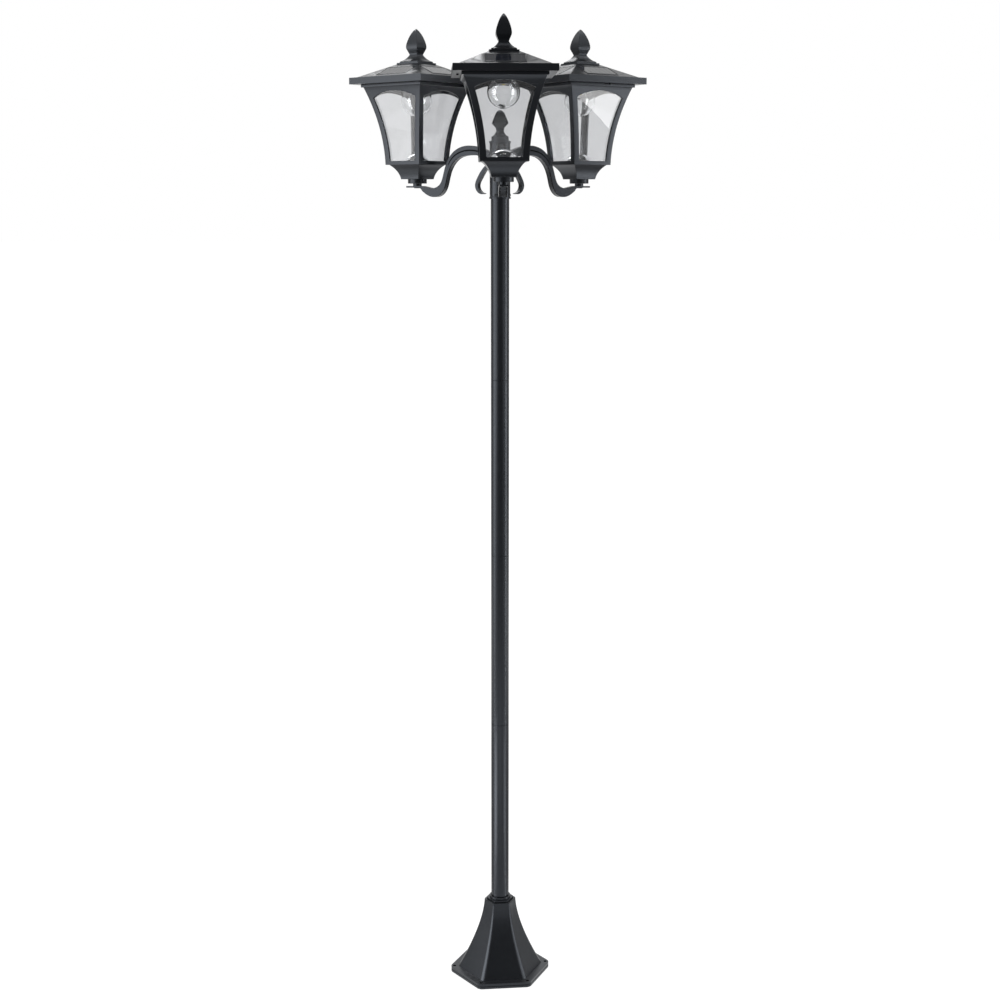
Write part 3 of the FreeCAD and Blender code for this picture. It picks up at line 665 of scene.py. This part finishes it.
def makeBattery(name):
    work = bmesh.new()
    canLook, sleeveLook, bandLook = range(3)
    lay = Matrix.Translation((0, battery["y"], battery["z"])) @ Matrix.Rotation(math.pi / 2, 4, "Y")
    lathe(work, rounded(battery["can"], battery["soft"]), battery["around"], canLook, lay)
    lathe(work, battery["sleeve"], battery["around"], sleeveLook, lay)
    lathe(work, battery["band"], battery["around"], bandLook, lay)
    bmesh.ops.remove_doubles(work, verts=work.verts, dist=battery["merge"])
    looks = [finishes["bare_steel"], batteryGreen, batteryBand]
    makePiece(name + "_battery", work, looks, name + "_top", placeOf(name))


switch = {  # a slider with a ribbed knob that hangs down through the tray
    "x": -79.5,
    "y": -12.0,
    "slider": 1736.1,
    "sliderHalf": (4.0, 4.5),
    "thick": 1.6,
    "sliderSoft": 0.3,
    "knob": 4.0,
    "knobTop": 1736.2,
    "knobLow": 1731.1,
    "ribs": 3,
    "ribTop": 1731.4,
    "ribLow": 1730.6,
    "inset": 0.2,
    "soft": 0.2,
}


def makeSwitch(name):
    work = bmesh.new()
    x, y, half, inset = switch["x"], switch["y"], switch["knob"] / 2, switch["inset"]
    wide, long = switch["sliderHalf"]
    low, high = switch["slider"], switch["slider"] + switch["thick"]
    block(work, (x - wide, y - long, low), (x + wide, y + long, high), soft=switch["sliderSoft"])
    low, high = switch["knobLow"], switch["knobTop"]
    block(work, (x - half, y - half, low), (x + half, y + half, high), soft=switch["soft"])
    low, high = switch["ribLow"], switch["ribTop"]
    step = switch["knob"] / switch["ribs"]
    for number in range(switch["ribs"]):
        near = y - half + number * step
        corner = (x - half + inset, near + inset, low)
        opposite = (x + half - inset, near + step - inset, high)
        block(work, corner, opposite, soft=switch["soft"])
    makePiece(name + "_switch", work, [darkScrew], name + "_switch", placeOf(name))


roofScrew = {  # a countersunk screw with a cross, its head below
    "offset": 58.0,
    "tip": [(0, 1743.0), (0.5, 1742.4), (1.08, 1741.6)],
    "threadTop": 1741.4,
    "pitch": 0.8,
    "shank": 1.5,
    "root": 1.11,
    "rootFrom": 0.45,  # share of the pitch where the root begins and ends
    "rootTo": 0.55,
    "low": 1733.1,
    "head": [(1.5, 1734.6), (2.85, 1733.35), (3.0, 1733.2), (2.9, 1733.1)],
    "around": 36,
    "crossReach": 1.65,
    "crossHalf": 0.38,
    "crossDeep": 1.1,
    "crossShrink": 0.55,
    "turn": (0.3, 0.7),  # radians for each millimetre of x and y, so that no two crosses stand alike
}


def makeRoofScrews(name):
    work = bmesh.new()
    shank, root, pitch, height = (roofScrew[key] for key in ("shank", "root", "pitch", "threadTop"))
    outline = list(roofScrew["tip"])
    while height > roofScrew["low"] + shank + pitch:
        rootTop, rootLow = height - pitch * roofScrew["rootFrom"], height - pitch * roofScrew["rootTo"]
        outline += [(shank, height), (root, rootTop), (root, rootLow)]
        height -= pitch
    outline += roofScrew["head"]
    shape = cross(roofScrew["crossReach"], roofScrew["crossHalf"])
    turnX, turnY = roofScrew["turn"]
    for x in (roofScrew["offset"], -roofScrew["offset"]):
        for y in (roofScrew["offset"], -roofScrew["offset"]):
            turned = Matrix.Translation((x, y, 0)) @ Matrix.Rotation(turnX * x + turnY * y, 4, "Z")
            rings = lathe(work, outline, roofScrew["around"], place=turned)
            recess(work, list(reversed(rings[-1])), shape, roofScrew["crossDeep"], roofScrew["crossShrink"])
    looks = [finishes["bare_steel"]]
    makePiece(name + "_roof_screws", work, looks, name + "_top", placeOf(name))


setScrew = {  # headless, with a six-sided socket; its outline runs outward from the post
    "outline": [(0, 17.5), (1.35, 17.5), (2.25, 18.2), (2.25, 19.4), (1.9, 19.8)],
    "z": 1530.0,
    "count": 3,
    "first": -118.0,  # degrees
    "around": 36,
    "socketSides": 6,
    "socket": 1.3,
    "deep": 1.4,
    "shrink": 0.9,
}


def makeSetScrews():
    work = bmesh.new()
    lay = Matrix.Rotation(math.pi / 2, 4, "Y")
    shape = polygon(setScrew["socketSides"], setScrew["socket"])
    for number in range(setScrew["count"]):
        angle = math.radians(setScrew["first"] + 360 / setScrew["count"] * number)
        place = Matrix.Translation((0, 0, setScrew["z"])) @ Matrix.Rotation(angle, 4, "Z") @ lay
        rings = lathe(work, setScrew["outline"], setScrew["around"], place=place)
        recess(work, rings[-1], shape, setScrew["deep"], setScrew["shrink"])
    makePiece("hub_screws", work, [darkScrew], "head")


# finials; cap, flame and blade are (half width, height) points, stub and collar (radius, height)

finial = {  # a four-sided cap with hollow sides and a thin rim, then a four-sided flame
    "stub": [(0, 1763.6), (3.7, 1763.6), (4, 1764), (4, 1773.5), (0, 1773.5)],
    "around": 40,
    "cap": [(0, 1772.5), (22.1, 1772.5), (22.1, 1774.9), (20.4, 1775.7), (17.4, 1777.4), (14.6, 1779.7),
            (12.2, 1782.3), (10.2, 1785.1), (8.9, 1787.5)],
    "flame": [(9.9, 1790.4), (11.9, 1795), (13.3, 1798.4), (13.6, 1800), (13.64, 1802.04), (13.47, 1804.42),
              (13.04, 1807.14), (12.36, 1810.20), (11.41, 1813.60), (10.31, 1817.00), (9.05, 1820.40),
              (7.60, 1823.80), (5.85, 1827.20), (4.15, 1829.92), (2.38, 1832.30), (0.90, 1834.00), (0, 1834)],
    "beyond": 5.0,  # only edges further than this from the axis are softened
    "soft": {"sharper": 0.9, "longer": 0.5, "width": 0.5, "profile": 0.6},  # sharper is in radians
}


def makeFinial(name):
    work = bmesh.new()
    lathe(work, finial["stub"], finial["around"])
    squareLathe(work, finial["cap"] + finial["flame"])
    softenCorners(work, finial["soft"], lambda spot: spot.xy.length > finial["beyond"])
    looks = [finishes["black_plastic"]]
    evenNormals(makePiece(name + "_finial", work, looks, name + "_top", placeOf(name)))


spade = {  # a four-sided blade with crisp corners on a round flared collar
    "collar": [(0, 1613), (4, 1613), (4, 1627), (16, 1627), (16, 1634.3), (15.3, 1635.4),
               (12, 1637.2), (9.8, 1639.8), (8.8, 1642.6), (0, 1642.6)],
    "around": 64,
    "collarSoft": 0.5,
    "blade": [(0, 1640.5), (7.3, 1640.6), (7.0, 1645.5), (7.5, 1650.2), (14.6, 1658.2), (15, 1658.9),
              (14.5, 1660.6), (12.9, 1664.6), (11.6, 1668), (10.3, 1671.4), (8.9, 1674.6), (7.2, 1677.7),
              (4.6, 1680.8), (1.8, 1682.3), (0, 1682.5)],
    "above": 1643.0,  # only edges above this are softened
    "soft": {"sharper": 1.0, "longer": 0.5, "width": 0.5, "profile": 0.6},
}


def makeSpade():
    work = bmesh.new()
    lathe(work, rounded(spade["collar"], spade["collarSoft"]), spade["around"])
    squareLathe(work, spade["blade"])
    softenCorners(work, spade["soft"], lambda spot: spot.z > spade["above"])
    evenNormals(makePiece("hub_finial", work, [finishes["black_paint"]], "head"))


# stage and light; everything from here on is in metres

studio = {
    "floorHalf": 60.0,
    "white": 1.0,
    "roomGrey": 0.55,
    "floorPale": 0.8,
    "floorShadow": 0.3,
    "floorGlow": 0.9,
    "runnerHeight": 0.005,
}


def blendByEyes(tree, unseen, seen, output):
    # seen is what rays from the eye find, straight, by a reflection or through glass
    path = addNode(tree, "ShaderNodeLightPath")
    share = path.outputs["Is Camera Ray"]
    for other in ("Is Glossy Ray", "Is Transmission Ray"):
        share = addMath(tree, "MAXIMUM", share, path.outputs[other])
    addBlend(tree, share, unseen, seen, output)


def makeWorld():
    world = bpy.data.worlds.new("studio")
    scene.world = world
    world.use_nodes = True
    tree = world.node_tree
    room = tree.nodes["Background"]
    room.inputs["Color"].default_value = (1, 1, 1, 1)
    room.inputs["Strength"].default_value = studio["roomGrey"]
    white = addNode(tree, "ShaderNodeBackground", Color=(1, 1, 1, 1), Strength=studio["white"])
    blendByEyes(tree, room, white, tree.nodes["World Output"])


def stagePiece(name, corners, material):
    mesh = bpy.data.meshes.new(name)
    mesh.from_pydata(corners, [], [(0, 1, 2, 3)])
    mesh.materials.append(material)
    thing = bpy.data.objects.new(name, mesh)
    scene.collection.objects.link(thing)
    return thing


def makeFloor():
    half = studio["floorHalf"]
    material, tree, _ = newMaterial("paleFloor")
    pale = addNode(tree, "ShaderNodeBsdfDiffuse", Color=[studio["floorPale"]] * 3 + [1])
    dim = addNode(tree, "ShaderNodeBsdfDiffuse", Color=[studio["floorShadow"]] * 3 + [1])
    glow = addNode(tree, "ShaderNodeEmission", Color=(1, 1, 1, 1), Strength=studio["floorGlow"])
    both = addNode(tree, "ShaderNodeAddShader")
    tree.links.new(dim.outputs[0], both.inputs[0])
    tree.links.new(glow.outputs[0], both.inputs[1])
    blendByEyes(tree, pale, both, tree.nodes["Material Output"])
    stagePiece("floor", [(-half, -half, 0), (half, -half, 0), (half, half, 0), (-half, half, 0)], material)


cards = {  # seen only by the gloss on the object: corners low and high, and how bright
    "wall": ((-4, -6, 0), (4, -6, 4), 0.12),
    "slant": ((-4, -6, 4), (4, -3.5, 6), 0.12),
    "roof": ((-4, -3.5, 6), (4, -1.2, 6), 0.08),
    "overhead": ((-4, -1.2, 6), (4, 1.6, 5.8), 2.4),
    "backRoof": ((-4, 1.6, 5.8), (4, 4.5, 5.5), 0.32),
    "darkFloor": ((-4, -6, 0.003), (4, -2.25, 0.003), 0.08),
    "paleFloorCard": ((-0.35, -2.25, 0.003), (0.35, -0.95, 0.003), 1.6),
    "nearFloor": ((-0.35, -0.95, 0.003), (0.35, -0.35, 0.003), 0.75),
    "leftDim": ((-1.6, -1.0, 0.003), (-0.35, 1.4, 0.003), 0.4),
    "rightDim": ((0.35, -1.0, 0.003), (1.8, 1.4, 0.003), 0.35),
    "backDim": ((-0.35, 0.25, 0.003), (0.35, 1.4, 0.003), 0.4),
}
uprights = {  # the same, but standing: azimuth from the front, distance, width, low and high, brightness
    "backLeft": (-122, 3.4, 3.0, 0.0, 3.2, 0.35),
    "backRight": (122, 3.4, 3.0, 0.0, 3.2, 0.2),
    "farRight": (58, 3.0, 1.9, 0.0, 3.0, 0.25),
    "leftStrip": (-77, 2.3, 0.2, 0.0, 2.0, 5.0),
    "rightStrip": (76, 2.3, 0.2, 0.0, 2.0, 7.2),
    "leftGleam": (-66, 1.0, 0.42, 0.1, 3.2, 13.0),
    "rightGleam": (59.6, 1.067, 0.4, 0.1, 3.2, 13.0),
    "leftKick": (-58, 1.0, 0.5, 0.95, 2.8, 2.6),
    "rightKick": (50, 1.0, 0.3, 0.95, 2.8, 0.9),
    "leftRidge": (-60, 0.45, 0.3, 0.07, 0.34, 5.0),
    "rightRidge": (63, 0.45, 0.24, 0.07, 0.34, 2.8),
}
gleams = ("leftGleam", "rightGleam")  # these two shine only on globes and reflectors, through the panes
runners = {  # wedges on the floor below two of the strips: azimuth, near and far, half angle, brightness
    "leftRunner": (-77, 0.12, 2.3, 3.4, 4.6),
    "rightRunner": (76, 0.12, 2.3, 3.4, 5.2),
}


def makeCard(name, corners, shade):
    material, tree, _ = newMaterial(name)
    plain = addNode(tree, "ShaderNodeEmission", Color=(shade, shade, shade, 1), Strength=1.0)
    tree.links.new(plain.outputs[0], tree.nodes["Material Output"].inputs["Surface"])
    card = stagePiece(name, corners, material)
    card.visible_camera = False
    card.visible_diffuse = False
    card.visible_glossy = name not in gleams
    card.visible_transmission = name in gleams
    card.visible_shadow = False


def makeCards():
    # dark and bright cards round the camera, overhead, on the floor and at the sides
    for name, (low, high, shade) in cards.items():
        makeCard(name, [low, (high[0], low[1], low[2]), high, (low[0], high[1], high[2])], shade)
    for name, (azimuth, distance, width, low, high, shade) in uprights.items():
        angle = math.radians(azimuth)
        middle, along = outward(angle) * distance, sideways(angle) * width / 2
        ends = ((-1, low), (1, low), (1, high), (-1, high))
        makeCard(name, [middle + along * side + Vector((0, 0, z)) for side, z in ends], shade)
    for name, (azimuth, near, far, half, shade) in runners.items():
        corners = []
        for reach, turn in ((near, -half), (far, -half), (far, half), (near, half)):
            spot = outward(math.radians(azimuth + turn)) * reach
            corners.append((spot.x, spot.y, studio["runnerHeight"]))
        makeCard(name, corners, shade)


lamps = {  # sizes in metres; only those that show are seen in the gloss
    "left": {
        "at": (-3.2, -0.75, 1.35),
        "aim": (0, 0, 1.35),
        "size": (1.9, 2.5),
        "watts": 28.0,
        "shows": True,
    },
    "right": {
        "at": (3.25, -0.45, 1.35),
        "aim": (0, 0, 1.35),
        "size": (1.5, 2.5),
        "watts": 22.0,
        "shows": True,
    },
    "back": {
        "at": (-1.3, 5.0, 5.68),
        "aim": (0, 0, 1.7),
        "size": (3.0, 0.6),
        "watts": 62.0,
        "shows": True,
    },
    "top": {
        "at": (0, 0.4, 4.6),
        "aim": (0, 0, 1.7),
        "size": (2.4, 2.0),
        "watts": 30.0,
        "shows": False,
    },
}


def makeLamps():
    for name, lamp in lamps.items():
        light = bpy.data.lights.new(name + "Lamp", "AREA")
        light.shape = "RECTANGLE"
        light.size, light.size_y = lamp["size"]
        light.energy = lamp["watts"]
        holder = bpy.data.objects.new(name + "Lamp", light)
        scene.collection.objects.link(holder)
        holder.location = lamp["at"]
        towards = Vector(lamp["aim"]) - Vector(lamp["at"])
        holder.rotation_euler = towards.to_track_quat("-Z", "Y").to_euler()
        holder.visible_camera = False
        holder.visible_glossy = lamp["shows"]


# all of it

scene.view_settings.view_transform = "Standard"
makeCamera()
makeWorld()
makeFloor()
makeCards()
makeLamps()
print("studio ready")
finishNodes()
paintGrooveShade()
print("finishes on")
for name in lanterns:
    makeSolarCells(name)
    makeGlobe(name)
    makeReflector(name)
    makeLed(name)
    makeBattery(name)
    makeSwitch(name)
    makeRoofScrews(name)
    makeFinial(name)
    print(name, "lantern fitted out")
makeSpade()
makeSetScrews()
print("hub fitted out")
